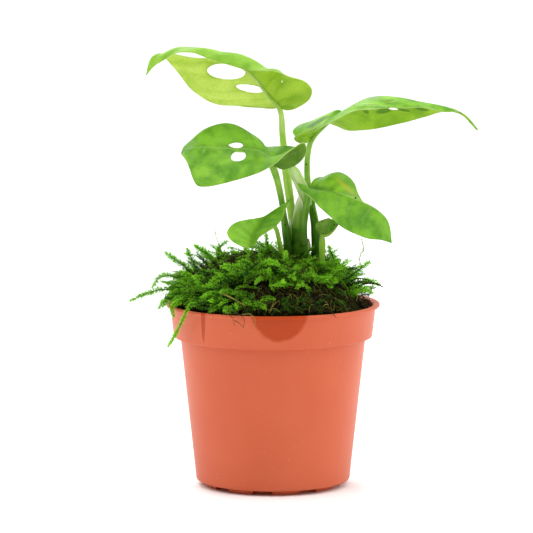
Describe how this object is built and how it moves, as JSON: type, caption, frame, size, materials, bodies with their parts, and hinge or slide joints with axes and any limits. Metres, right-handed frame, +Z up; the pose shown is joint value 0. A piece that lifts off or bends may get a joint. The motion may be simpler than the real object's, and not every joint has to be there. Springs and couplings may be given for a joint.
{
  "type": "potted swiss cheese vine",
  "caption": "Swiss cheese vine with heart-shaped, holed leaves on upright petioles, in a round terracotta-coloured plastic nursery pot with a mound of green moss on the soil.",
  "frame": {"origin": "centre of the pot's underside, on the surface it stands on", "axes": "+Z up along the pot's axis, the front of the plant in the picture faces -Y, and +X is to the right seen from the front"},
  "size_m": [0.1946, 0.12, 0.2469],
  "materials": {
    "terracotta_plastic": "satin injection-moulded polypropylene, terracotta orange",
    "potting_mix": null,
    "dead_moss": "matted dead moss, dark brown and olive, matt; fabric stands in for plant fibre",
    "live_moss": "live green moss, matt; fabric stands in for plant fibre",
    "stem_skin": "smooth green plant skin, slight sheen; leather stands in for plant skin",
    "young_leaf": "pale rolled young leaf, slight sheen; leather stands in for leaf tissue",
    "leaf_underside_light": "bright green leaf lit through from behind; leather stands in for leaf tissue",
    "leaf_blade": "green leaf with a soft gloss; leather stands in for leaf tissue"
  },
  "bodies": {
    "root": {"pot": "terracotta_plastic", "soil": "potting_mix", "moss_thatch": "dead_moss", "moss_live": "live_moss", "stem": "stem_skin", "new_leaf": "young_leaf", "leaf_top_left": "leaf_underside_light", "leaf_right": "leaf_blade", "leaf_mid_left": "leaf_blade", "leaf_mid_right": "leaf_blade", "leaf_low_left": "leaf_blade", "leaf_small_right": "leaf_blade"}
  },
  "joints": []
}
